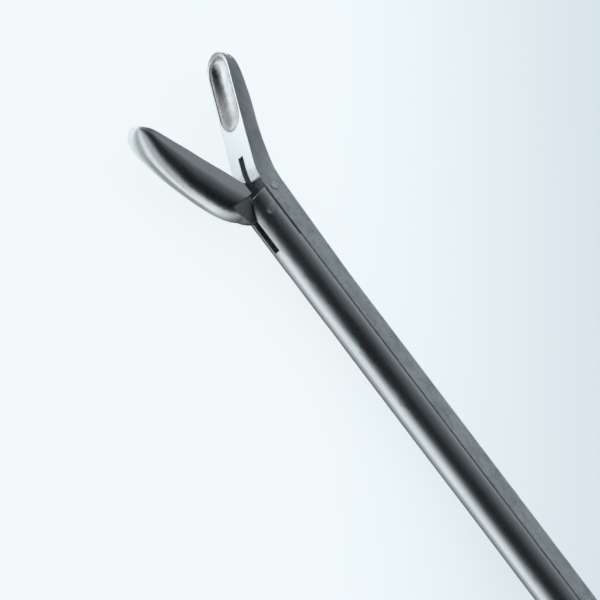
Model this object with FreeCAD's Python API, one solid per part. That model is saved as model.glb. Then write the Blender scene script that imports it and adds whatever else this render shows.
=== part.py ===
import FreeCAD, Part
import math
import os
from FreeCAD import Matrix, Placement, Rotation, Vector

# Nasal forceps with a sliding shaft, lying on its side, in millimetres.
# +X runs along the shaft to the jaws, +Y is the slide's side, +Z is up from the surface it lies on.
# The pieces are built about the lever's pivot and the middle plane, and moved to their place at the end.

# Shaft: the fixed bar and the slide meet at the seam
SHAFT_WIDTH = 3.5
WORKING_SHAFT = 108.0
FIXED_FLANK = 1.38
FIXED_BACK_RISE = 0.5
SEAM_GAP = 0.05
SLIDE_HEIGHT = 1.95
SLIDE_FLANK = 0.2
SLIDE_INSET = 0.05

# Jaws, measured from the jaw pivot in a frame that turns with the jaws
PIVOT_BELOW_SEAM = 0.77
JAW_BEND = 28.0
JAW_OPENING = 55.5
MATING_OFFSET = 1.4
MATING_GAP = 0.05
JAW_LENGTH = 12.8
JAW_HALF_WIDTH = 1.68
BEND_RADIUS = 5.3
NECK_FLANK = 1.7
NECK_TAPER = 10.0
FIXED_JAW_DEPTH = 1.8
FIXED_TAPER_LENGTH = 6.1
FIXED_TAPER_POWER = 0.45
FIXED_FLANK_SHARE = 0.72
MOVING_JAW_DEPTH = 2.88
MOVING_TAPER_LENGTH = 9.3
MOVING_TAPER_POWER = 0.65
MOVING_FLANK_SHARE = 0.39
HEEL_CENTRE = 1.1
HEEL_DEPTH = 2.3
MOVING_RIM_START = 2.5

# Cups in the mating faces
CUP_LENGTH = 6.7
CUP_WIDTH = 2.96
CUP_DEPTH = 1.0
CUP_TIP_RIM = 0.36

# Tang of the moving jaw, the fork that holds it, and the slide's drive
TANG_THICKNESS = 0.62
FORK_SLOT = 0.7
TANG_EYE = 1.0
TANG_LOBE = 0.79
TANG_ROOT = 0.8
TANG_ROOT_X = 2.3
TANG_ROOT_Y = 1.6
FORK_CLEARANCE = 0.14
FORK_SLOT_FRONT = 3.3
FORK_SLOT_DEPTH = 0.9
JAW_PIN_RADIUS = 0.4
RIVET_PROUD = 0.05
PIN_RUNNING = 0.03
DRIVE_BACK = 1.42
DRIVE_ABOVE_PIVOT = 1.55
SLIDE_TRAVEL = 1.75
CAM_RUNNING = 0.04

# Slide's nose: a V from end to end of its height makes room for the jaw's heel
NOSE_AHEAD = 0.4
NOSE_LEAN = 10.0
NOSE_RELIEF = 0.1
NOSE_RELIEF_LENGTH = 4.5
NOTCH_APEX_BACK = 2.27
NOTCH_HALF_ANGLE = 25.0
SLIDE_SLOT_BACK = 4.6
HEEL_CLEARANCE = 0.12

# Guide keys under the slide, in T slots of the fixed bar
KEY_LENGTH = 4.0
KEY_NECK = 1.0
KEY_HEAD = 2.0
KEY_HEAD_THICKNESS = 0.5
KEY_NECK_DROP = 0.6
KEY_SEAT_DEPTH = 0.8
KEY_RUNNING = 0.06
KEY_END_PLAY = 0.3
FRONT_KEY_BACK = 14.0
REAR_KEY_AHEAD = 14.0

# Handle block
HANDLE_THICKNESS = 6.0
BLOCK_FRONT = 14.0
BLOCK_REAR = -9.0
BLOCK_DROP = 6.0
BLOCK_ROUND = 1.2
SPIGOT_LENGTH = 8.8
SOCKET_GAP = 0.02
SHAFT_RIVET_RADIUS = 0.8
SHAFT_RIVET_INSET = 2.4
SHAFT_RIVET_PITCH = 4.0
SHAFT_RIVET_DROP = 1.1

# Lever and its coupling to the slide
LEVER_ARM = 6.0
COUPLING_ABOVE_SEAM = 2.0
LEVER_THICKNESS = 2.1
LEVER_SIDE_GAP = 0.1
LEVER_HUB = 3.2
LEVER_HEAD = 1.9
LEVER_HUB_GAP = 0.4
LEVER_SWING_ROOM = 1.4
COUPLING_PIN_RADIUS = 1.0
COUPLING_RUNNING = 0.05

# Slide's head over the handle block
HEAD_HALF_WIDTH = 2.9
HEAD_FLANK = 3.0
HEAD_RISE = 1.2
HEAD_REAR = 6.5
HEAD_FRONT = 6.0
HEAD_FLARE = 5.0
HEAD_SLOT_HALF = 3.1

# Pivot screw
SCREW_SHOULDER = 2.0
SCREW_HEAD = 2.9
SCREW_HEAD_DEPTH = 0.95
SCREW_THREAD = 1.5
SCREW_SUNK = 0.05
SCREW_SLOT_WIDTH = 0.7
SCREW_SLOT_DEPTH = 0.45
SEATED = 0.01

# Ring handles
RING_HOLE = 11.5
RING_WALL = 2.2
RING_DISTANCE = 62.3
THUMB_DIRECTION = 222.4
RING_GAP_CLOSED = 2.0
SHANK_TOP = 2.9
SHANK_FOOT = 2.2
LEVER_SHANK_START = 8.6
THUMB_BOW = (-21.0, -4.0)
THUMB_ROOT = (-6.0, -1.5)

# Sizes that follow
HALF_SHAFT = SHAFT_WIDTH / 2
HALF_HANDLE = HANDLE_THICKNESS / 2
SEAM_Y = LEVER_ARM - COUPLING_ABOVE_SEAM
JAW_X = BLOCK_FRONT + WORKING_SHAFT
JAW_Y = SEAM_Y - PIVOT_BELOW_SEAM
BEND = math.radians(JAW_BEND)
LEVER_TRAVEL = math.degrees(SLIDE_TRAVEL / LEVER_ARM)
LEVER_LEAN = LEVER_TRAVEL / 2
COUPLING_X = -SLIDE_TRAVEL / 2
RING_RADIUS = RING_HOLE + RING_WALL
RING_OUTSIDE = RING_RADIUS + RING_WALL
CROSSING_AHEAD = (MATING_OFFSET - PIVOT_BELOW_SEAM * math.cos(BEND)) / math.sin(BEND)
BEND_TANGENT = BEND_RADIUS * math.tan(BEND / 2)
BEND_LENGTH = BEND_RADIUS * BEND
CROSSING_ON_JAW = CROSSING_AHEAD * math.cos(BEND) - PIVOT_BELOW_SEAM * math.sin(BEND)
BEND_END_ON_JAW = CROSSING_ON_JAW + BEND_TANGENT
CUP_CENTRE = JAW_LENGTH - CUP_TIP_RIM - CUP_LENGTH / 2
CUP_START = CUP_CENTRE - CUP_LENGTH / 2
TIP_START = JAW_LENGTH - JAW_HALF_WIDTH
MOVING_TAPER_START = JAW_LENGTH - MOVING_TAPER_LENGTH
SPARE = 0.3
CORE = 20.0
CUT_POSES = 6
Z = Vector(0, 0, 1)


def polar(radius, degrees):
    """A point of the middle plane at this distance and direction from the lever's pivot."""
    angle = math.radians(degrees)
    return Vector(radius * math.cos(angle), radius * math.sin(angle), 0)


def face(points):
    """A flat face with straight sides."""
    return Part.Face(Part.makePolygon(points + [points[0]]))


def plate(flat, thickness):
    """The face as a plate that lies evenly about the middle plane."""
    lowered = flat.copy()
    lowered.translate(Vector(0, 0, -thickness / 2))
    return lowered.extrude(Vector(0, 0, thickness))


def block(x, y, z):
    """A box between its two ends along each axis."""
    corner = Vector(x[0], y[0], z[0])
    return Part.makeBox(x[1] - x[0], y[1] - y[0], z[1] - z[0], corner)


def pin(centre, radius, length):
    """A plain pin across the middle plane."""
    return Part.makeCylinder(radius, length, Vector(centre.x, centre.y, -length / 2), Z)


def link(a, a_radius, b, b_radius):
    """The outline of two discs and the straight tangents that join them."""
    base = math.atan2(b.y - a.y, b.x - a.x)
    spread = math.acos((a_radius - b_radius) / a.distanceToPoint(b))

    def rim(centre, radius, angle):
        return centre + Vector(math.cos(angle), math.sin(angle), 0) * radius

    a_left = rim(a, a_radius, base + spread)
    a_back = rim(a, a_radius, base + math.pi)
    a_right = rim(a, a_radius, base - spread)
    b_right = rim(b, b_radius, base - spread)
    b_front = rim(b, b_radius, base)
    b_left = rim(b, b_radius, base + spread)
    edges = [
        Part.Arc(a_left, a_back, a_right).toShape(),
        Part.makeLine(a_right, b_right),
        Part.Arc(b_right, b_front, b_left).toShape(),
        Part.makeLine(b_left, a_left),
    ]
    return Part.Face(Part.Wire(edges))


def quarter(start, middle, end):
    """A quarter of an ellipse, from start to end, whose tangents meet at middle."""
    pull = 4 * (math.sqrt(2) - 1) / 3
    curve = Part.BezierCurve()
    curve.setPoles([start, start + (middle - start) * pull, end + (middle - end) * pull, end])
    return curve.toShape()


def section(origin, degrees, half_width, base, corner, crown):
    """A bar's section square to a direction: flat base, two flanks and an arched back."""
    angle = math.radians(degrees)
    up = Vector(-math.sin(angle), math.cos(angle), 0)

    def point(z, height):
        return origin + up * height + Z * z

    edges = [
        Part.makeLine(point(-half_width, base), point(half_width, base)),
        Part.makeLine(point(half_width, base), point(half_width, corner)),
        quarter(point(half_width, corner), point(half_width, crown), point(0, crown)),
        quarter(point(0, crown), point(-half_width, crown), point(-half_width, corner)),
        Part.makeLine(point(-half_width, corner), point(-half_width, base)),
    ]
    return Part.Wire(edges)


def blend(start, end, share):
    """An even change from start to end."""
    share = min(max(share, 0), 1)
    return start + (end - start) * share * share * (3 - 2 * share)


def jaw_place(degrees):
    """Where a shape built in the jaw's own frame goes when its mating face lies at this angle."""
    return Placement(Vector(JAW_X, JAW_Y, 0), Rotation(Z, degrees))


def jaw_angle(travel):
    """The angle of the moving jaw's mating face once the slide has moved by travel."""
    return JAW_OPENING * (1 - travel / SLIDE_TRAVEL) - JAW_BEND


def jaw_half_width(x):
    """Half the jaws' width: parallel, then a half-round end."""
    past = max(0, x - TIP_START)
    return math.sqrt(JAW_HALF_WIDTH ** 2 - past ** 2)


def jaw_depth(full, x, taper, power):
    """Depth of a jaw: even, then falling to nothing at the tip over the taper's length."""
    share = max(0, 1 - (JAW_LENGTH - x) / taper)
    return full * (1 - share * share) ** power


def tip_stations():
    """Places along the round tip, closer together towards its end."""
    return [TIP_START + JAW_HALF_WIDTH * math.sin(math.radians(step)) for step in (17, 34, 51, 68, 84)]


def between(start, end, steps):
    """Even places from start to end, without the end."""
    return [start + (end - start) * step / steps for step in range(steps)]


def cup():
    """The hollow of a jaw, in the jaw's frame: a groove with round ends, as a ball cutter leaves it."""
    half = CUP_WIDTH / 2
    straight = CUP_LENGTH - CUP_WIDTH
    rear = Vector(CUP_START + half, 0, 0)
    groove = Part.makeCylinder(half, straight, rear, Vector(1, 0, 0))
    ends = [Part.makeSphere(half, rear), Part.makeSphere(half, rear + Vector(straight, 0, 0))]
    scale = Matrix()
    scale.scale(Vector(1, CUP_DEPTH / half, 1))
    hollow = groove.multiFuse(ends).removeSplitter().transformGeometry(scale)
    hollow.translate(Vector(0, MATING_OFFSET, 0))
    return hollow


def mating_line(along):
    """Point and direction of the fixed bar's upper face: the seam, the bend, then the mating face."""
    start = Vector(JAW_X + CROSSING_AHEAD - BEND_TANGENT, SEAM_Y, 0)
    if along <= 0:
        return start + Vector(along, 0, 0), 0.0
    turned = min(along / BEND_RADIUS, BEND)
    point = start + Vector(math.sin(turned), math.cos(turned) - 1, 0) * BEND_RADIUS
    past = along - turned * BEND_RADIUS
    point += Vector(math.cos(turned), -math.sin(turned), 0) * past
    return point, -math.degrees(turned)


def fixed_sections():
    """Sections of the fixed bar's front end, from the start of its bend to the jaw's tip."""
    cup_at = BEND_LENGTH + CUP_START - BEND_END_ON_JAW
    wires = []
    for along in between(0, BEND_LENGTH, 2) + between(BEND_LENGTH, cup_at, 2):
        narrowing = (along - BEND_LENGTH / 2) / (cup_at - BEND_LENGTH / 2)
        flank = blend(NECK_FLANK, FIXED_JAW_DEPTH * FIXED_FLANK_SHARE, narrowing)
        half_width = blend(HALF_SHAFT, JAW_HALF_WIDTH, narrowing)
        point, degrees = mating_line(along)
        wires.append(section(point, degrees, half_width, SPARE, -flank, -flank - FIXED_BACK_RISE))
    for x in between(CUP_START, TIP_START, 3) + [TIP_START] + tip_stations():
        depth = jaw_depth(FIXED_JAW_DEPTH, x, FIXED_TAPER_LENGTH, FIXED_TAPER_POWER)
        point, degrees = mating_line(BEND_LENGTH + x - BEND_END_ON_JAW)
        wires.append(section(point, degrees, jaw_half_width(x), SPARE, -depth * FIXED_FLANK_SHARE, -depth))
    return wires


def above_mating_line():
    """Everything above the fixed bar's seam, bend and mating face."""
    start = mating_line(-BEND_TANGENT - CORE)[0]
    bend_start = mating_line(0)[0]
    bend_middle = mating_line(BEND_LENGTH / 2)[0]
    bend_end = mating_line(BEND_LENGTH)[0]
    end = mating_line(BEND_LENGTH + CORE)[0]
    top = Vector(end.x, SEAM_Y + CORE, 0)
    edges = [
        Part.makeLine(start, bend_start),
        Part.Arc(bend_start, bend_middle, bend_end).toShape(),
        Part.makeLine(bend_end, end),
        Part.makeLine(end, top),
        Part.makeLine(top, Vector(start.x, top.y, 0)),
        Part.makeLine(Vector(start.x, top.y, 0), start),
    ]
    return plate(Part.Face(Part.Wire(edges)), CORE)


def drive_pin_in_jaw(travel):
    """The drive pin's centre in the jaw's frame once the slide has moved by travel."""
    turn = math.radians(jaw_angle(travel))
    x = travel - DRIVE_BACK
    y = DRIVE_ABOVE_PIVOT
    return Vector(x * math.cos(turn) + y * math.sin(turn), y * math.cos(turn) - x * math.sin(turn), 0)


def tang(thickness, extra):
    """The moving jaw's tang: eye, drive lobe and root in one flat web, larger by extra all round."""
    eye = Vector(0, 0, 0)
    lobe = drive_pin_in_jaw(0)
    root = Vector(TANG_ROOT_X, TANG_ROOT_Y, 0)
    web = plate(face([eye, root, lobe]), thickness)
    sides = (
        link(eye, TANG_EYE + extra, lobe, TANG_LOBE + extra),
        link(eye, TANG_EYE + extra, root, TANG_ROOT + extra),
        link(lobe, TANG_LOBE + extra, root, TANG_ROOT + extra),
    )
    return web.multiFuse([plate(side, thickness) for side in sides]).removeSplitter()


def cam_slot():
    """The slot in the tang that gives the jaw an even turn for each step of the slide."""
    half = JAW_PIN_RADIUS + CAM_RUNNING
    centres = [drive_pin_in_jaw(SLIDE_TRAVEL * step / CUT_POSES) for step in range(CUT_POSES + 1)]
    spans = [plate(link(a, half, b, half), CORE) for a, b in zip(centres, centres[1:])]
    return spans[0].multiFuse(spans[1:]).removeSplitter()


def key_places():
    """Where the two guide keys begin, with the slide at rest."""
    return (JAW_X - FRONT_KEY_BACK - KEY_LENGTH, BLOCK_FRONT + REAR_KEY_AHEAD)


def key_slot(start):
    """The T slot that one guide key runs in, with the wide window behind it that lets the key in."""
    end = start + KEY_LENGTH + SLIDE_TRAVEL + KEY_END_PLAY
    rear = start - KEY_END_PLAY
    window = rear - KEY_LENGTH - KEY_END_PLAY
    half_neck = KEY_NECK / 2 + KEY_RUNNING
    half_head = KEY_HEAD / 2 + KEY_RUNNING
    roof = SEAM_Y - KEY_NECK_DROP + KEY_RUNNING
    floor = SEAM_Y - KEY_NECK_DROP - KEY_HEAD_THICKNESS - KEY_RUNNING
    neck = block((rear, end), (roof, SEAM_Y + 1), (-half_neck, half_neck))
    head = block((window, end), (floor, roof), (-half_head, half_head))
    way_in = block((window, rear), (roof, SEAM_Y + 1), (-half_head, half_head))
    return head.multiFuse([neck, way_in])


def shaft_rivet_centres():
    """Centres of the rivets that hold the shaft in the handle block."""
    y = SEAM_Y - SHAFT_RIVET_DROP
    first = BLOCK_FRONT - SHAFT_RIVET_INSET
    return [Vector(first - SHAFT_RIVET_PITCH * number, y, 0) for number in range(2)]


def fixed_bar_section(x, extra, top):
    """The straight fixed bar's section, larger by extra all round."""
    half_width = HALF_SHAFT + extra
    crown = -FIXED_FLANK - FIXED_BACK_RISE - extra
    return section(Vector(x, SEAM_Y, 0), 0, half_width, top, -FIXED_FLANK, crown)


def make_fixed_shaft():
    """The fixed bar with its bent cup jaw, tang fork, key slots and the spigot in the handle block."""
    front = fixed_sections()
    rear = BLOCK_FRONT - SPIGOT_LENGTH
    neck_start = mating_line(-NECK_TAPER)[0].x
    bar = Part.Face(fixed_bar_section(rear, 0, 0)).extrude(Vector(neck_start - rear, 0, 0))
    neck = Part.makeLoft([fixed_bar_section(neck_start, 0, SPARE), front[0]], True, True)
    end = neck.fuse(Part.makeLoft(front, True, False)).cut(above_mating_line())
    shaft = bar.fuse(end)
    hollow = cup()
    hollow.Placement = jaw_place(-JAW_BEND).multiply(hollow.Placement)
    shaft = shaft.cut(hollow)
    for travel in (0, SLIDE_TRAVEL / 2, SLIDE_TRAVEL):
        room = tang(FORK_SLOT, FORK_CLEARANCE)
        room.Placement = jaw_place(jaw_angle(travel))
        shaft = shaft.cut(room)
    depth = (MATING_OFFSET - FORK_SLOT_DEPTH, MATING_OFFSET + 1)
    ahead = block((0, FORK_SLOT_FRONT), depth, (-FORK_SLOT / 2, FORK_SLOT / 2))
    ahead.Placement = jaw_place(-JAW_BEND)
    shaft = shaft.cut(ahead)
    shaft = shaft.cut(pin(Vector(JAW_X, JAW_Y, 0), JAW_PIN_RADIUS + SEATED, CORE))
    for start in key_places():
        shaft = shaft.cut(key_slot(start))
    for centre in shaft_rivet_centres():
        shaft = shaft.cut(pin(centre, SHAFT_RIVET_RADIUS + SEATED, CORE))
    return shaft.removeSplitter()


def slide_section(x, extra):
    """The slide's section: two short flanks and a round back, larger by extra all round."""
    origin = Vector(x, SEAM_Y + SEAM_GAP, 0)
    half_width = HALF_SHAFT - SLIDE_INSET + extra
    return section(origin, 0, half_width, -extra, SLIDE_FLANK, SLIDE_HEIGHT - SEAM_GAP + extra)


def slide_bar(nose, rear, extra):
    """The slide's bar between two places along the shaft, larger by extra all round."""
    return Part.Face(slide_section(nose, extra)).extrude(Vector(rear - nose, 0, 0))


def nose_notch(less):
    """The V cut through the slide's nose, smaller by less on each face."""
    half_angle = math.radians(NOTCH_HALF_ANGLE)
    apex = JAW_X - NOTCH_APEX_BACK + less / math.sin(half_angle)
    reach = JAW_X + NOSE_AHEAD + 1 - apex
    half_width = reach * math.tan(half_angle)
    bottom = SEAM_Y - 1
    plan = [
        Vector(apex, bottom, 0),
        Vector(apex + reach, bottom, half_width),
        Vector(apex + reach, bottom, -half_width),
    ]
    return face(plan).extrude(Vector(0, CORE, 0))


def slide_envelope(clearance):
    """What the slide's nose fills, larger by the clearance, for cutting the moving jaw's heel."""
    nose = JAW_X + NOSE_AHEAD + clearance
    rear = JAW_X - SLIDE_SLOT_BACK - SLIDE_TRAVEL
    return slide_bar(nose, rear, clearance).cut(nose_notch(clearance))


def beside_notch(clearance):
    """Everything above the seam beside the nose's V, for trimming the heel where the jaw is open."""
    x = (JAW_X - SLIDE_SLOT_BACK, JAW_X + NOSE_AHEAD + clearance)
    return block(x, (SEAM_Y, SEAM_Y + CORE), (-CORE, CORE)).cut(nose_notch(clearance))


def ahead_of_nose():
    """Everything ahead of the nose's end face, which leans back from the seam."""
    lean = math.radians(NOSE_LEAN)
    foot = Vector(JAW_X + NOSE_AHEAD, SEAM_Y, 0)
    up = Vector(-math.sin(lean), math.cos(lean), 0)
    low = foot - up
    high = foot + up * CORE
    return plate(face([low, high, high + Vector(CORE, 0, 0), low + Vector(CORE, 0, 0)]), CORE)


def make_slide():
    """The half-round slide with its forked nose, and the head that the lever moves."""
    floor = SEAM_Y + SEAM_GAP
    rod_end = COUPLING_X + HEAD_FRONT + HEAD_FLARE
    rod = slide_bar(JAW_X + NOSE_AHEAD, rod_end, 0).cut(nose_notch(0)).cut(ahead_of_nose())
    under_nose = (SEAM_Y, floor + NOSE_RELIEF)
    rod = rod.cut(block((JAW_X - NOSE_RELIEF_LENGTH, JAW_X + CORE), under_nose, (-CORE, CORE)))
    front = COUPLING_X + HEAD_FRONT
    small = slide_section(rod_end, 0)
    large = section(Vector(front, floor, 0), 0, HEAD_HALF_WIDTH, 0, HEAD_FLANK, HEAD_FLANK + HEAD_RISE)
    flare = Part.makeLoft([small, large], True, False)
    head = Part.Face(large).extrude(Vector(-HEAD_FRONT - HEAD_REAR, 0, 0))
    slide = rod.multiFuse([flare, head])
    half_slot = FORK_SLOT / 2
    slot = (JAW_X - SLIDE_SLOT_BACK, JAW_X + CORE)
    fork = block(slot, (SEAM_Y - 1, SEAM_Y + CORE), (-half_slot, half_slot))
    half_head_slot = LEVER_THICKNESS / 2 + LEVER_SIDE_GAP
    reach = (COUPLING_X - HEAD_SLOT_HALF, COUPLING_X + HEAD_SLOT_HALF)
    head_slot = block(reach, (SEAM_Y - 1, SEAM_Y + CORE), (-half_head_slot, half_head_slot))
    slide = slide.cut(fork).cut(head_slot)
    slide = slide.cut(pin(drive_pin_centre(), JAW_PIN_RADIUS + SEATED, CORE))
    slide = slide.cut(pin(coupling_centre(), COUPLING_PIN_RADIUS + SEATED, CORE))
    for start in key_places():
        half_neck = KEY_NECK / 2
        seat = block((start, start + KEY_LENGTH), (SEAM_Y, floor + KEY_SEAT_DEPTH), (-half_neck, half_neck))
        slide = slide.cut(seat)
    return slide.removeSplitter()


def drive_pin_centre():
    """The drive pin with the slide at rest."""
    return Vector(JAW_X - DRIVE_BACK, JAW_Y + DRIVE_ABOVE_PIVOT, 0)


def coupling_centre():
    """The pin that joins the lever to the slide, at rest."""
    return Vector(COUPLING_X, LEVER_ARM, 0)


def make_drive_pin():
    """A rivet through the slide's fork, ground to the slide's round."""
    blank = pin(drive_pin_centre(), JAW_PIN_RADIUS, CORE)
    return blank.common(slide_bar(JAW_X + CORE, JAW_X - CORE, RIVET_PROUD))


def rivet(centre, radius, length):
    """A rivet whose two ends stand a little proud, with chamfered edges."""
    blank = pin(centre, radius, length + 2 * RIVET_PROUD)
    rims = [edge for edge in blank.Edges if isinstance(edge.Curve, Part.Circle)]
    return blank.makeChamfer(RIVET_PROUD * 0.9, rims)


def make_jaw_pivot_pin():
    """The rivet that the moving jaw turns on."""
    return rivet(Vector(JAW_X, JAW_Y, 0), JAW_PIN_RADIUS, SHAFT_WIDTH)


def make_guide_keys():
    """The two T-headed keys fixed under the slide."""
    keys = []
    for start in key_places():
        x = (start, start + KEY_LENGTH)
        bottom = SEAM_Y - KEY_NECK_DROP
        top = SEAM_Y + SEAM_GAP + KEY_SEAT_DEPTH
        neck = block(x, (bottom, top), (-KEY_NECK / 2, KEY_NECK / 2))
        head = block(x, (bottom - KEY_HEAD_THICKNESS, bottom), (-KEY_HEAD / 2, KEY_HEAD / 2))
        keys.append(neck.fuse(head).removeSplitter())
    return Part.makeCompound(keys)


def moving_depth(x):
    """Depth of the moving jaw: it grows from the heel to where the taper to the tip starts."""
    if x >= MOVING_TAPER_START:
        return jaw_depth(MOVING_JAW_DEPTH, x, MOVING_TAPER_LENGTH, MOVING_TAPER_POWER)
    share = (MOVING_TAPER_START - x) / (MOVING_TAPER_START - HEEL_CENTRE)
    return MOVING_JAW_DEPTH + (HEEL_DEPTH - MOVING_JAW_DEPTH) * share * share


def moving_section(x, depth, half_width):
    """The moving jaw's section in its own frame, a little past the mating face."""
    corner = MATING_OFFSET + depth * MOVING_FLANK_SHARE
    return section(Vector(x, 0, 0), 0, half_width, MATING_OFFSET - SPARE, corner, MATING_OFFSET + depth)


def heel():
    """The round rear end of the moving jaw: half its section turned about an upright axis."""
    depth = HEEL_DEPTH
    base = MATING_OFFSET - SPARE
    corner = MATING_OFFSET + depth * MOVING_FLANK_SHARE
    crown = MATING_OFFSET + depth
    low = Vector(HEEL_CENTRE, base, 0)
    low_side = Vector(HEEL_CENTRE, base, JAW_HALF_WIDTH)
    side = Vector(HEEL_CENTRE, corner, JAW_HALF_WIDTH)
    top = Vector(HEEL_CENTRE, crown, 0)
    edges = [
        Part.makeLine(low, low_side),
        Part.makeLine(low_side, side),
        quarter(side, Vector(HEEL_CENTRE, crown, JAW_HALF_WIDTH), top),
        Part.makeLine(top, low),
    ]
    return Part.Face(Part.Wire(edges)).revolve(low, Vector(0, -1, 0), 180)


def below_heel():
    """Everything under the heel, which lies level along the slide's top when the jaws are open."""
    level = math.radians(JAW_OPENING - JAW_BEND)
    rim = Vector(MOVING_RIM_START, MATING_OFFSET + MATING_GAP, 0)
    back = rim + Vector(-math.cos(level), math.sin(level), 0) * CORE
    return plate(face([rim, back, Vector(back.x, -CORE, 0), Vector(rim.x, -CORE, 0)]), CORE)


def make_moving_jaw():
    """The hinged cup jaw: a round-backed spoon, its heel cut clear of the slide, and its slotted tang."""
    stations = between(HEEL_CENTRE, MOVING_TAPER_START, 2) + between(MOVING_TAPER_START, TIP_START, 4)
    wires = []
    for x in stations + [TIP_START] + tip_stations():
        wires.append(moving_section(x, moving_depth(x), jaw_half_width(x)))
    spoon = Part.makeLoft(wires, True, False).fuse(heel())
    below = block((-CORE, CORE), (-CORE, MATING_OFFSET + MATING_GAP), (-CORE, CORE))
    spoon = spoon.cut(below).cut(below_heel()).cut(cup())
    beside = beside_notch(HEEL_CLEARANCE)
    beside.Placement = jaw_place(jaw_angle(0)).inverse()
    spoon = spoon.cut(beside)
    for step in range(CUT_POSES + 1):
        travel = SLIDE_TRAVEL * step / CUT_POSES
        room = slide_envelope(HEEL_CLEARANCE)
        room.translate(Vector(travel, 0, 0))
        room.Placement = jaw_place(jaw_angle(travel)).inverse().multiply(room.Placement)
        spoon = spoon.cut(room)
    jaw = spoon.fuse(tang(TANG_THICKNESS, 0))
    jaw = jaw.cut(cam_slot())
    jaw = jaw.cut(pin(Vector(0, 0, 0), JAW_PIN_RADIUS + PIN_RUNNING, CORE))
    jaw = jaw.removeSplitter()
    jaw.Placement = jaw_place(jaw_angle(0))
    return jaw


def make_coupling_pin():
    """The pin across the slide's head that the lever pushes."""
    return pin(coupling_centre(), COUPLING_PIN_RADIUS, 2 * HEAD_HALF_WIDTH)


def make_shaft_rivets():
    """The two rivets that hold the shaft in the handle block."""
    rivets = [pin(centre, SHAFT_RIVET_RADIUS, HANDLE_THICKNESS) for centre in shaft_rivet_centres()]
    return Part.makeCompound(rivets)


def ring(centre):
    """A finger ring with an oval section."""
    middle = centre + Vector(RING_RADIUS, 0, 0)
    oval = Part.Ellipse(middle + Z * HALF_HANDLE, middle + Vector(RING_WALL, 0, 0), middle).toShape()
    return Part.Face(Part.Wire(oval)).revolve(centre, Z, 360)


def shank(root, bow, foot, root_half):
    """A bar of oval section along a gentle curve from the root to the foot."""
    wires = []
    steps = 4
    for step in range(steps + 1):
        share = step / steps
        centre = root * (1 - share) ** 2 + bow * (2 * share * (1 - share)) + foot * share ** 2
        run = (bow - root) * (1 - share) + (foot - bow) * share
        run.normalize()
        half = root_half + (SHANK_FOOT - root_half) * share
        side = Vector(-run.y, run.x, 0)
        oval = Part.Ellipse(centre + Z * HALF_HANDLE, centre + side * half, centre).toShape()
        wires.append(Part.Wire(oval))
    return Part.makeLoft(wires, True, False)


def thumb_centre():
    """Centre of the thumb ring."""
    return polar(RING_DISTANCE, THUMB_DIRECTION)


def finger_centre():
    """Centre of the finger ring at rest, far enough off to clear the thumb ring when closed."""
    apart = 2 * math.degrees(math.asin((RING_OUTSIDE + RING_GAP_CLOSED / 2) / RING_DISTANCE))
    return polar(RING_DISTANCE, THUMB_DIRECTION + apart + LEVER_TRAVEL)


def make_rear_handle():
    """The handle block that holds the shaft and the lever, with its shank and thumb ring."""
    body = block((BLOCK_REAR, BLOCK_FRONT), (-BLOCK_DROP, SEAM_Y), (-HALF_HANDLE, HALF_HANDLE))
    rounded = []
    for edge in body.Edges:
        centre = edge.CenterOfMass
        lower_long = abs(centre.y + BLOCK_DROP) < 0.01 and abs(centre.z) > 0.01 and edge.Length > 10
        upright = abs(centre.z) < 0.01 and (centre.y < 0 or centre.x < 0)
        if lower_long or upright:
            rounded.append(edge)
    body = body.makeFillet(BLOCK_ROUND, rounded)
    centre = thumb_centre()
    towards = Vector(-centre.x, -centre.y, 0).normalize()
    foot = centre + towards * RING_RADIUS
    root = Vector(THUMB_ROOT[0], THUMB_ROOT[1], 0)
    bow = Vector(THUMB_BOW[0], THUMB_BOW[1], 0)
    handle = body.multiFuse([shank(root, bow, foot, SHANK_TOP), ring(centre)])
    socket = Part.Face(fixed_bar_section(BLOCK_FRONT - SPIGOT_LENGTH - SOCKET_GAP, SOCKET_GAP, 1))
    handle = handle.cut(socket.extrude(Vector(CORE, 0, 0)))
    half_slot = LEVER_THICKNESS / 2 + LEVER_SIDE_GAP
    front = LEVER_HUB + LEVER_HUB_GAP
    slot = block((-front, front), (-CORE, CORE), (-half_slot, half_slot))
    swing = face([Vector(-front, 0, 0), Vector(-front - LEVER_SWING_ROOM, -BLOCK_DROP - 1, 0),
                  Vector(0, -BLOCK_DROP - 1, 0)])
    handle = handle.cut(slot).cut(plate(swing, 2 * half_slot))
    handle = handle.cut(pin(Vector(0, 0, 0), SCREW_THREAD + SEATED, CORE))
    shoulder = Part.makeCylinder(SCREW_SHOULDER + SEATED, CORE, Vector(0, 0, -half_slot), Z)
    sink = Part.makeCylinder(SCREW_HEAD + SEATED, CORE, Vector(0, 0, HALF_HANDLE - SCREW_HEAD_DEPTH), Z)
    handle = handle.cut(shoulder).cut(sink)
    for rivet_centre in shaft_rivet_centres():
        handle = handle.cut(pin(rivet_centre, SHAFT_RIVET_RADIUS + SEATED, CORE))
    return handle.removeSplitter()


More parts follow.
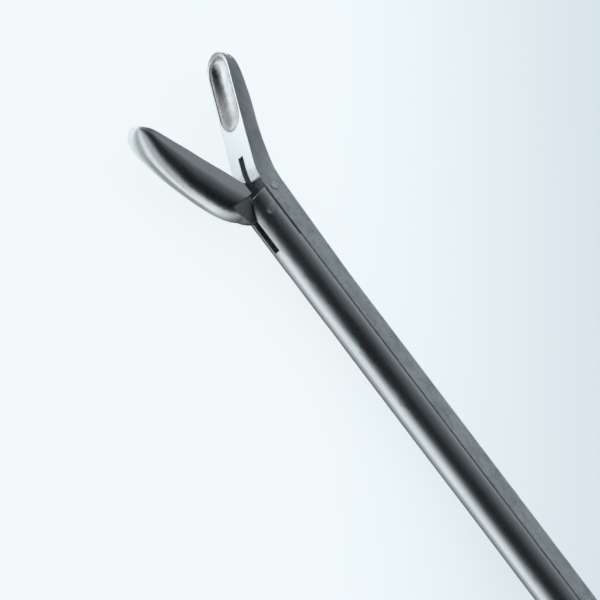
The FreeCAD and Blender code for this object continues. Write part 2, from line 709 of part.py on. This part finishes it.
def make_front_lever():
    """The lever: a rounded head in the slide, a hub in the block, and a shank with its finger ring."""
    centre = finger_centre()
    down = Vector(centre.x, centre.y, 0).normalize()
    head = polar(LEVER_ARM, 90 + LEVER_LEAN)
    shank_root = down * LEVER_SHANK_START
    blade = plate(link(Vector(0, 0, 0), LEVER_HUB, head, LEVER_HEAD), LEVER_THICKNESS)
    lower = link(Vector(0, 0, 0), LEVER_HUB, down * (LEVER_SHANK_START + 4), SHANK_FOOT)
    blade = blade.fuse(plate(lower, LEVER_THICKNESS))
    foot = centre - down * RING_RADIUS
    bow = (shank_root + foot) * 0.5
    lever = blade.multiFuse([shank(shank_root, bow, foot, SHANK_TOP), ring(centre)])
    lever = lever.cut(pin(Vector(0, 0, 0), SCREW_SHOULDER + PIN_RUNNING, CORE))
    up = polar(1, 90 + LEVER_LEAN)
    reach = math.hypot(LEVER_ARM, COUPLING_X)
    half = COUPLING_PIN_RADIUS + COUPLING_RUNNING
    slot = link(up * (LEVER_ARM - SEATED), half, up * (reach + SEATED), half)
    return lever.cut(plate(slot, CORE)).removeSplitter()


def make_lever_pivot_screw():
    """The shoulder screw that the lever turns on, with its slotted head sunk in the block."""
    half_slot = LEVER_THICKNESS / 2 + LEVER_SIDE_GAP
    under_head = HALF_HANDLE - SCREW_HEAD_DEPTH
    thread = Part.makeCylinder(SCREW_THREAD, HALF_HANDLE - SCREW_SUNK, Vector(0, 0, SCREW_SUNK - HALF_HANDLE), Z)
    shoulder = Part.makeCylinder(SCREW_SHOULDER, under_head + half_slot, Vector(0, 0, -half_slot), Z)
    head = Part.makeCylinder(SCREW_HEAD, SCREW_HEAD_DEPTH - SCREW_SUNK, Vector(0, 0, under_head), Z)
    top = HALF_HANDLE - SCREW_SUNK
    half_width = SCREW_SLOT_WIDTH / 2
    groove = block((-CORE, CORE), (-half_width, half_width), (top - SCREW_SLOT_DEPTH, CORE))
    return shoulder.multiFuse([thread, head]).removeSplitter().cut(groove)


def build():
    """Every piece in the place it has at rest, with the jaws and handles open."""
    return {
        "fixed_shaft": make_fixed_shaft(),
        "jaw_pivot_pin": make_jaw_pivot_pin(),
        "rear_handle": make_rear_handle(),
        "shaft_rivets": make_shaft_rivets(),
        "lever_pivot_screw": make_lever_pivot_screw(),
        "slide": make_slide(),
        "drive_pin": make_drive_pin(),
        "guide_keys": make_guide_keys(),
        "coupling_pin": make_coupling_pin(),
        "moving_jaw": make_moving_jaw(),
        "front_lever": make_front_lever(),
    }


def to_ground(pieces):
    """How far to move the pieces so that the origin is the bottom centre of their common box."""
    box = Part.makeCompound(list(pieces.values())).optimalBoundingBox(False)
    return Vector(-(box.XMin + box.XMax) / 2, -(box.YMin + box.YMax) / 2, HALF_HANDLE)


os.makedirs("parts", exist_ok=True)
PIECES = build()
SHIFT = to_ground(PIECES)
for name, shape in PIECES.items():
    shape.translate(SHIFT)
    shape.exportStep("parts/" + name + ".step")
print("origin moved by", SHIFT)
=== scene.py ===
import math

import bpy
from mathutils import Matrix, Vector


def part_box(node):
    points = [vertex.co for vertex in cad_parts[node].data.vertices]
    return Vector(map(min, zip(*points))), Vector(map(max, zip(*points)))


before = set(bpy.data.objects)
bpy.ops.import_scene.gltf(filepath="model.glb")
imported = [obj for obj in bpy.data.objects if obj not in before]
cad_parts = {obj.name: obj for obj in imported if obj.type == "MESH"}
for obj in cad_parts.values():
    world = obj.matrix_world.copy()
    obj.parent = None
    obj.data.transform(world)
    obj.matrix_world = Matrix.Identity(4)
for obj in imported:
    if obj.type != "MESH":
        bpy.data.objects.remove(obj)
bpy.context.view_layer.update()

# Nasal forceps, looks: the finish of every steel piece, the floor, the light and the camera.
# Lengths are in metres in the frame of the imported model, with the shaft along X and the slide on its +Y side.
MM = 0.001

# Camera: it looks down on the jaws from the slide's side, rolled so that the shaft runs to the lower right
CAMERA_ELEVATION = 51.0
CAMERA_ROLL = 52.8
VIEW_WIDTH = 49.6 * MM
LENS = 250.0
SENSOR = 36.0
CLIP_START = 10 * MM
AIM_BEHIND_JAW_PIVOT = 8.88 * MM
AIM_ABOVE_JAW_PIVOT = 3.83 * MM

# Jaws, as the faces of the model lie at rest, measured from the jaws' pivot
JAW_BEND = 28.0
JAW_OPENING = 55.5
FIXED_FACE = 1.40 * MM
MOVING_FACE = 1.45 * MM
BELOW_FACE = 0.02 * MM
POLISHED_AHEAD = 0.3 * MM
FACES_JAW = 0.05
FLANK_UPRIGHT = 0.98

# Steel: tones and roughness follow a fine grain and a coarser cloud, and edges are worn and carry a painted
# highlight
NOISE_MIDDLE = (0.30, 0.70)
CLOUD_MIDDLE = (0.35, 0.65)
CLOUD_STRETCH = (0.5, 1.0, 1.0)
CLOUD_DETAIL = 4.0
GRAIN_DETAIL = 3.0
GRAIN_ALONG = (0.06, 1.0, 1.0)
GRAIN_EVEN = (1.0, 1.0, 1.0)
GRAIN_DEPTH = 0.002 * MM
GRAIN_TONE = 0.25
CLOUD_ROUGHNESS = (0.92, 1.08)
GRAIN_ROUGHNESS = (0.90, 1.06)
EDGE_RADIUS = 0.12 * MM
SLIDE_EDGE_RADIUS = 0.20 * MM
EDGE_SAMPLES = 4
EDGE_TURN = (0.995, 0.90)
EDGE_HIGHLIGHT = 1.3
EDGE_ROUGHNESS = 0.7
BLACK = (0.0, 0.0, 0.0)

# Painted shade on the fixed jaw's flank and tip and on the moving jaw's flanks and heel, and small dark pits on
# the fixed jaw's flank
FLANK_SHADE_START = -1.0 * MM
FLANK_SHADE = 0.42
FLANK_SHADE_AHEAD = 4.0 * MM
PIT_SCALE = 3600
PIT_RANGE = (0.46, 0.26)
PIT_TONE = 0.22
TIP_RANGE = (11.5 * MM, 12.8 * MM)
TIP_SHADE = 0.75
UPRIGHT_RANGE = (0.75, 1.0)
UPRIGHT_SHADE = 0.34
HEEL_RANGE = (3.8 * MM, 1.2 * MM)
HEEL_SHADE = 0.8
HEEL_ROUND = (0.95, 0.6)
HEEL_ROUND_SHARE = (0.3, 1.0)

# Pins, keys, rivets and screw, which share one finish
SMALL_PIECES = ("jaw_pivot_pin", "drive_pin", "guide_keys", "coupling_pin", "shaft_rivets",
                "lever_pivot_screw")

# Cup: mirror-like at the tip and duller behind it, by share of the reach from the pivot
CUP_END = 12.4 * MM
CUP_METALLIC = [(0.0, 1.0), (0.42, 1.0), (0.46, 0.45), (0.60, 0.45), (0.85, 1.0)]

# Floor: pale, with a painted shade, seen by the camera only, that darkens it towards the right of the camera's
# view
STAGE_SIZE = 3.0
PALE = (0.855, 0.921, 0.939)
PALE_SHADED = (0.60, 0.69, 0.755)
FAR_DIRECTION = (-0.70, -0.71, 0.0)
FAR_END = 50 * MM
FLOOR_LIT = 0.10
FLOOR_OWN = 0.93
# In reflections the floor is lit and also glows with painted light
REFLECTED_LIT = 0.90
REFLECTED_OWN = 0.25

# Floor in reflections: a painted shadow under the shaft and under the moving jaw's back, and painted light
# beside them
SHAFT_REACH = 25 * MM
SHAFT_PAINTED_LEVELS = [(0.0, 0.20), (0.10, 0.30), (0.18, 0.80), (0.24, 1.12), (0.40, 1.05), (1.0, 0.5)]
JAW_SIDE_RANGE = (-1.5 * MM, 1.0 * MM)
JAW_BACK = 4.2 * MM
JAW_BACK_RANGE = (-12.5 * MM, 6.25 * MM)
JAW_PAINTED_LEVELS = [(0.0, 1.07), (0.60, 1.07), (0.68, 0.35), (0.75, 0.45), (0.80, 1.1), (0.86, 1.1), (1.0, 0.5)]

# Surround: even for the floor, and for reflections dark overhead on the slide's side
SURROUND = (1.0, 1.0, 1.0)
OVERHEAD = (0.0, 0.72, 0.69)
OVERHEAD_STRETCH = (0.6, 1.0, 1.0)
OVERHEAD_LEVELS = [(-1.0, 0.60), (-0.45, 0.42), (-0.1, 0.36), (0.12, 0.33), (0.26, 0.17), (0.62, 0.12),
                   (0.85, 0.05), (0.95, 0.02)]
HORIZON_HEIGHT = 0.35
HORIZON_LEVEL = 0.36
REFLECTED_TINT = (0.88, 1.0, 1.09)
HANDLE_SIDE_RANGE = (-0.25, -0.55)
HANDLE_SIDE_LEVEL = 0.25

# Lamp: one soft square over the jaws, on the handle's side
KEY_DIRECTION = (0.15, -0.63, 0.78)
KEY_DISTANCE = 150 * MM
KEY_SIZE = 90 * MM
KEY_WATTS = 0.002


class Graph:
    """A material's or a world's nodes, made and linked with short calls."""

    def __init__(self, tree):
        self.tree = tree
        tree.nodes.clear()

    def add(self, kind, links=None, **values):
        """A node with these inputs or settings, fed by these sockets."""
        node = self.tree.nodes.new("ShaderNode" + kind)
        for name, value in values.items():
            if name in node.inputs:
                node.inputs[name].default_value = value
            else:
                setattr(node, name, value)
        for name, source in (links or {}).items():
            self.tree.links.new(source, node.inputs[name])
        return node

    def feed(self, socket, value):
        """Gives a socket another node's output, a colour or a number."""
        if isinstance(value, bpy.types.NodeSocket):
            self.tree.links.new(value, socket)
        elif isinstance(value, tuple) and len(socket.default_value) == 4:
            socket.default_value = (*value, 1)
        else:
            socket.default_value = value

    def math(self, operation, a, b=0.0):
        """A sum, product or other operation on one or two values."""
        node = self.add("Math", operation=operation)
        self.feed(node.inputs[0], a)
        self.feed(node.inputs[1], b)
        return node.outputs[0]

    def vector(self, operation, a, b, output="Vector"):
        """An operation on two vectors."""
        node = self.add("VectorMath", operation=operation)
        self.feed(node.inputs[0], a)
        self.feed(node.inputs[1], b)
        return node.outputs[output]

    def dot(self, a, b):
        """How far two vectors point the same way."""
        return self.vector("DOT_PRODUCT", a, b, "Value")

    def axes(self, vector):
        """A vector's X, Y and Z."""
        return self.add("SeparateXYZ", {"Vector": vector}).outputs

    def spread(self, source, old, new=(0.0, 1.0), kind="LINEAR"):
        """The source's old range, taken to a new one."""
        node = self.add("MapRange", {"Value": source}, interpolation_type=kind)
        for socket, value in zip(node.inputs[1:5], (*old, *new)):
            socket.default_value = value
        return node.outputs[0]

    def ramp(self, source, stops):
        """A grey level that follows the source through these stops of place and level."""
        node = self.add("ValToRGB", {"Fac": source})
        elements = node.color_ramp.elements
        while len(elements) < len(stops):
            elements.new(0.5)
        for element, (place, level) in zip(elements, stops):
            element.position = place
            element.color = (level, level, level, 1)
        return node.outputs[0]

    def mix(self, share, a, b):
        """A blend of two colours."""
        node = self.add("Mix", data_type="RGBA")
        self.feed(node.inputs[0], share)
        self.feed(node.inputs[6], a)
        self.feed(node.inputs[7], b)
        return node.outputs[2]

    def noise(self, vector, scale, detail, stretch=(1.0, 1.0, 1.0)):
        """Noise with this many features per metre, longer along an axis where stretch is small."""
        mapping = self.add("Mapping", {"Vector": vector})
        mapping.inputs["Scale"].default_value = [scale * share for share in stretch]
        node = self.add("TexNoise", {"Vector": mapping.outputs[0]}, Scale=1.0, Detail=detail)
        return node.outputs[0]

    def finish(self, kind, shader):
        """Links the shader to the output."""
        output = self.add(kind)
        self.tree.links.new(shader, output.inputs[0])


def turned(degrees):
    """The shaft's upward direction, +Y, after a turn about Z."""
    angle = math.radians(degrees)
    return Vector((-math.sin(angle), math.cos(angle), 0))


def ahead(degrees):
    """The shaft's forward direction, +X, after a turn about Z."""
    return turned(degrees - 90)


def jaw_pivot():
    """The jaws' pivot in the middle plane."""
    low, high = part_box("jaw_pivot_pin")
    return (low + high) / 2


def from_pivot(g, place, direction):
    """How far a place lies from the jaws' pivot along a direction."""
    return g.math("SUBTRACT", g.dot(place, tuple(direction)), jaw_pivot().dot(direction))


def steel(name, colour, dark, roughness, grain, mottle, wear_and_highlight, stretch=GRAIN_EVEN, depth=GRAIN_DEPTH,
          edge=EDGE_HIGHLIGHT, radius=EDGE_RADIUS, metallic=1.0, shade_and_pits=None, metallic_by_place=None):
    """Steel with a grain and a mottle in features per metre, worn edges with a painted highlight (a painted
    shade where edge is under one), and painted shade and pits by shade_and_pits.
    """
    material = bpy.data.materials.new(name)
    material.use_nodes = True
    g = Graph(material.node_tree)
    place = g.add("TexCoord").outputs["Object"]
    fine = g.noise(place, grain, GRAIN_DETAIL, stretch)
    cloud = g.noise(place, mottle, CLOUD_DETAIL, CLOUD_STRETCH)
    base = g.mix(g.spread(cloud, CLOUD_MIDDLE), dark, colour)
    base = g.mix(g.spread(fine, NOISE_MIDDLE, (0.0, GRAIN_TONE)), base, dark)
    soft = g.add("Bevel", samples=EDGE_SAMPLES, Radius=radius).outputs[0]
    flat = g.add("NewGeometry").outputs["Normal"]
    worn_and_highlit = g.spread(g.dot(soft, flat), EDGE_TURN, (0.0, wear_and_highlight))
    # Worn edges: smoother, and lighter by a painted highlight, or darker by a painted shade where edge is under
    # one
    base = g.mix(worn_and_highlit, base, tuple(min(1, channel * edge) for channel in colour))
    # Painted shade by place, and small pits where given, darken the colour towards black
    if shade_and_pits:
        base = g.mix(shade_and_pits(g, place), base, BLACK)
    rough = g.spread(cloud, NOISE_MIDDLE, tuple(roughness * share for share in CLOUD_ROUGHNESS))
    rough = g.math("MULTIPLY", rough, g.spread(worn_and_highlit, (0.0, 1.0), (1.0, EDGE_ROUGHNESS)))
    rough = g.math("MULTIPLY", rough, g.spread(fine, NOISE_MIDDLE, GRAIN_ROUGHNESS))
    bump = g.add("Bump", {"Height": fine, "Normal": soft}, Strength=1.0, Distance=depth)
    sockets = {"Base Color": base, "Roughness": rough, "Normal": bump.outputs[0]}
    shader = g.add("BsdfPrincipled", sockets, Metallic=metallic)
    if metallic_by_place:
        g.feed(shader.inputs["Metallic"], metallic_by_place(g, place))
    g.finish("OutputMaterial", shader.outputs[0])
    return material


def fixed_flank_shade_and_pits(g, place):
    """Paints shade on the fixed jaw's flank, deeper towards its mating edge, and sprinkles the flank with small
    pits.
    """
    towards_face = from_pivot(g, place, turned(-JAW_BEND))
    across = g.spread(towards_face, (FLANK_SHADE_START, FIXED_FACE), (0.0, FLANK_SHADE))
    on_jaw = g.spread(from_pivot(g, place, ahead(0)), (0.0, FLANK_SHADE_AHEAD))
    pits = g.spread(g.noise(place, PIT_SCALE, 1.0), PIT_RANGE, (0.0, PIT_TONE))
    return g.math("MAXIMUM", g.math("MULTIPLY", across, on_jaw), pits)


def tip_painted_shade(g, place):
    """Paints shade on the rim round the fixed jaw's tip."""
    return g.spread(from_pivot(g, place, ahead(-JAW_BEND)), TIP_RANGE, (0.0, TIP_SHADE))


def moving_jaw_painted_shade(g, place):
    """Paints shade on the moving jaw's flat flanks, and on its round back towards the heel."""
    upright = g.math("ABSOLUTE", g.axes(g.add("TexCoord").outputs["Normal"])["Z"])
    flank = g.spread(upright, UPRIGHT_RANGE, (0.0, UPRIGHT_SHADE))
    heel = g.spread(from_pivot(g, place, ahead(JAW_OPENING - JAW_BEND)), HEEL_RANGE, (0.0, HEEL_SHADE))
    heel = g.math("MULTIPLY", heel, g.spread(upright, HEEL_ROUND, HEEL_ROUND_SHARE))
    return g.math("MAXIMUM", flank, heel)


def cup_metallic(g, place):
    """Keeps the cup's tip mirror-like and its rest duller."""
    reach = from_pivot(g, place, ahead(-JAW_BEND))
    return g.ramp(g.spread(reach, (0.0, CUP_END)), CUP_METALLIC)


def make_steels():
    """The finishes that the forceps has."""
    return {
        "matte": steel("matte_flank", colour=(0.71, 0.77, 0.79), dark=(0.50, 0.54, 0.56), roughness=0.50,
                       grain=9000, mottle=1600, wear_and_highlight=0.4, depth=6 * GRAIN_DEPTH, metallic=0.88,
                       shade_and_pits=fixed_flank_shade_and_pits),
        "satin": steel("satin_round", colour=(0.74, 0.76, 0.77), dark=(0.66, 0.68, 0.69), roughness=0.30,
                       grain=7000, mottle=300, wear_and_highlight=0.8, stretch=GRAIN_ALONG, depth=GRAIN_DEPTH / 2,
                       radius=SLIDE_EDGE_RADIUS),
        "jaw": steel("satin_jaw", colour=(0.80, 0.82, 0.83), dark=(0.72, 0.74, 0.75), roughness=0.26,
                     grain=7000, mottle=300, wear_and_highlight=0.5, stretch=GRAIN_ALONG, depth=GRAIN_DEPTH / 8,
                     shade_and_pits=moving_jaw_painted_shade),
        # The polished face's edges carry a painted shade, and its tip's rim a painted shade by
        # tip_painted_shade
        "chrome": steel("polished_face", colour=(0.98, 0.99, 1.0), dark=(0.95, 0.96, 0.97), roughness=0.10,
                        grain=5000, mottle=400, wear_and_highlight=0.6, stretch=GRAIN_ALONG, depth=GRAIN_DEPTH / 2,
                        edge=0.35, shade_and_pits=tip_painted_shade),
        "cup": steel("bright_cup", colour=(0.96, 0.97, 0.97), dark=(0.74, 0.76, 0.76), roughness=0.26,
                     grain=2500, mottle=1500, wear_and_highlight=0.2, depth=10 * GRAIN_DEPTH,
                     metallic_by_place=cup_metallic),
        "handle": steel("satin_handle", colour=(0.86, 0.88, 0.89), dark=(0.76, 0.78, 0.79), roughness=0.42,
                        grain=6000, mottle=200, wear_and_highlight=0.5),
        "pin": steel("bright_pin", colour=(0.96, 0.96, 0.95), dark=(0.86, 0.86, 0.85), roughness=0.45,
                     grain=8000, mottle=900, wear_and_highlight=0.3),
    }


def polished(facing, face_level):
    """Chooses the second material for a jaw's mating face, which faces this way, and the third for a cup."""
    pivot = jaw_pivot()

    def choose(polygon):
        inward = polygon.normal.dot(facing) > FACES_JAW and abs(polygon.normal.z) < FLANK_UPRIGHT
        if not inward or polygon.center.x < pivot.x + POLISHED_AHEAD:
            return 0
        sunk = (polygon.center - pivot).dot(facing) < face_level - BELOW_FACE
        return 2 if sunk else 1

    return choose


def finish(node, materials, choose=None):
    """Gives a CAD node its materials, and each face the one that choose names by number."""
    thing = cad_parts[node]
    thing.data.materials.clear()
    for material in materials:
        thing.data.materials.append(material)
    if choose:
        for polygon in thing.data.polygons:
            polygon.material_index = choose(polygon)


def finish_pieces(steels):
    """Every piece's finish."""
    fixed_facing = turned(-JAW_BEND)
    moving_facing = -turned(JAW_OPENING - JAW_BEND)
    bright = [steels["chrome"], steels["cup"]]
    finish("fixed_shaft", [steels["matte"], *bright], polished(fixed_facing, FIXED_FACE))
    finish("moving_jaw", [steels["jaw"], *bright], polished(moving_facing, -MOVING_FACE))
    finish("slide", [steels["satin"]])
    for node in ("rear_handle", "front_lever"):
        finish(node, [steels["handle"]])
    for node in SMALL_PIECES:
        finish(node, [steels["pin"]])


def painted_floor_reflection(g, place):
    """The floor's painted shadow and painted light in reflections, by the place on it."""
    axes = g.axes(place)
    pivot = jaw_pivot()
    aside = g.math("ABSOLUTE", g.math("SUBTRACT", axes["Y"], pivot.y))
    near_shaft = g.ramp(g.spread(aside, (0.0, SHAFT_REACH)), SHAFT_PAINTED_LEVELS)
    outward = g.math("SUBTRACT", from_pivot(g, place, turned(JAW_OPENING - JAW_BEND)), JAW_BACK)
    near_jaws = g.ramp(g.spread(outward, JAW_BACK_RANGE), JAW_PAINTED_LEVELS)
    jaw_side = g.spread(axes["X"], tuple(pivot.x + edge for edge in JAW_SIDE_RANGE))
    return g.mix(jaw_side, near_shaft, near_jaws)


def floor_material(aim):
    """The floor's own pale colour for the camera with a painted shade towards one side, a painted shadow and
    painted light by place in reflections, and some real light.
    """
    material = bpy.data.materials.new("pale_floor")
    material.use_nodes = True
    g = Graph(material.node_tree)
    path = g.add("LightPath")
    seen = path.outputs["Is Camera Ray"]
    reflected = path.outputs["Is Glossy Ray"]
    place = g.add("NewGeometry").outputs["Position"]
    start = aim.dot(Vector(FAR_DIRECTION))
    # Painted shade: the floor's colour for the camera darkens towards FAR_DIRECTION
    far_shade = g.spread(g.dot(place, FAR_DIRECTION), (start, start + FAR_END), kind="SMOOTHSTEP")
    colour = g.mix(g.math("MULTIPLY", far_shade, seen), PALE, PALE_SHADED)
    # Painted shadow and painted light, seen only in reflections, scale the floor's lit colour and glow
    lower = g.math("SUBTRACT", painted_floor_reflection(g, place), 1.0)
    level = g.math("ADD", g.math("MULTIPLY", reflected, lower), 1.0)
    lit_share = g.math("ADD", g.math("MULTIPLY", reflected, REFLECTED_LIT - FLOOR_LIT), FLOOR_LIT)
    lit = g.add("BsdfDiffuse", {"Color": g.mix(g.math("MULTIPLY", lit_share, level), BLACK, colour)})
    own = g.add("Emission", {"Color": colour})
    glow = g.math("ADD", g.math("MULTIPLY", seen, FLOOR_OWN), g.math("MULTIPLY", reflected, REFLECTED_OWN))
    g.feed(own.inputs["Strength"], g.math("MULTIPLY", glow, level))
    both = g.add("AddShader")
    g.tree.links.new(lit.outputs[0], both.inputs[0])
    g.tree.links.new(own.outputs[0], both.inputs[1])
    g.finish("OutputMaterial", both.outputs[0])
    return material


def make_floor(aim):
    """A pale floor, with a painted shade towards one side, that keeps a soft shadow."""
    half = STAGE_SIZE / 2
    mesh = bpy.data.meshes.new("floor")
    corners = [(-half, -half, 0), (half, -half, 0), (half, half, 0), (-half, half, 0)]
    mesh.from_pydata(corners, [], [(0, 1, 2, 3)])
    floor = bpy.data.objects.new("floor", mesh)
    bpy.context.scene.collection.objects.link(floor)
    mesh.materials.append(floor_material(aim))


def make_world():
    """A pale surround for the eye and the floor, and a dark overhead in reflections."""
    world = bpy.data.worlds.new("studio")
    bpy.context.scene.world = world
    world.use_nodes = True
    world.cycles.sampling_method = "NONE"
    g = Graph(world.node_tree)
    path = g.add("LightPath")
    direction = g.add("TexCoord").outputs["Generated"]
    stretched = g.vector("MULTIPLY", direction, OVERHEAD_STRETCH)
    unit = g.add("VectorMath", {"Vector": stretched}, operation="NORMALIZE").outputs[0]
    stops = [((place + 1) / 2, level) for place, level in OVERHEAD_LEVELS]
    reflected = g.ramp(g.spread(g.dot(unit, OVERHEAD), (-1.0, 1.0)), stops)
    axes = g.axes(direction)
    horizon = g.spread(axes["Z"], (0.0, HORIZON_HEIGHT), (HORIZON_LEVEL, 0.0))
    reflected = g.math("MAXIMUM", reflected, horizon)
    handle_side = g.spread(axes["X"], HANDLE_SIDE_RANGE, (1.0, HANDLE_SIDE_LEVEL))
    reflected = g.vector("MULTIPLY", g.math("MULTIPLY", reflected, handle_side), REFLECTED_TINT)
    level = g.mix(path.outputs["Is Glossy Ray"], SURROUND, reflected)
    colour = g.mix(path.outputs["Is Camera Ray"], level, PALE)
    background = g.add("Background", {"Color": colour}, Strength=1.0)
    g.finish("OutputWorld", background.outputs[0])


def make_key(aim):
    """A square soft lamp that faces the aim."""
    data = bpy.data.lights.new("key", "AREA")
    data.shape = "SQUARE"
    data.size = KEY_SIZE
    data.energy = KEY_WATTS
    lamp = bpy.data.objects.new("key", data)
    bpy.context.scene.collection.objects.link(lamp)
    lamp.location = aim + Vector(KEY_DIRECTION).normalized() * KEY_DISTANCE
    lamp.rotation_euler = (lamp.location - aim).to_track_quat("Z", "Y").to_euler()


def make_camera(aim):
    """A long lens at the photograph's viewing angle."""
    elevation = math.radians(CAMERA_ELEVATION)
    roll = math.radians(CAMERA_ROLL)
    back = Vector((0, math.cos(elevation), math.sin(elevation)))
    level_right = Vector((-1, 0, 0))
    level_up = back.cross(level_right)
    right = level_right * math.cos(roll) + level_up * math.sin(roll)
    up = back.cross(right)
    data = bpy.data.cameras.new("camera")
    data.lens = LENS
    data.sensor_width = SENSOR
    data.clip_start = CLIP_START
    camera = bpy.data.objects.new("camera", data)
    bpy.context.scene.collection.objects.link(camera)
    distance = VIEW_WIDTH * LENS / SENSOR
    turn = Matrix((right, up, back)).transposed().to_4x4()
    camera.matrix_world = Matrix.Translation(aim + back * distance) @ turn
    bpy.context.scene.camera = camera


AIM = jaw_pivot() + Vector((-AIM_BEHIND_JAW_PIVOT, AIM_ABOVE_JAW_PIVOT, 0))
make_camera(AIM)
finish_pieces(make_steels())
make_floor(AIM)
make_world()
make_key(jaw_pivot())
bpy.context.scene.view_settings.view_transform = "Standard"
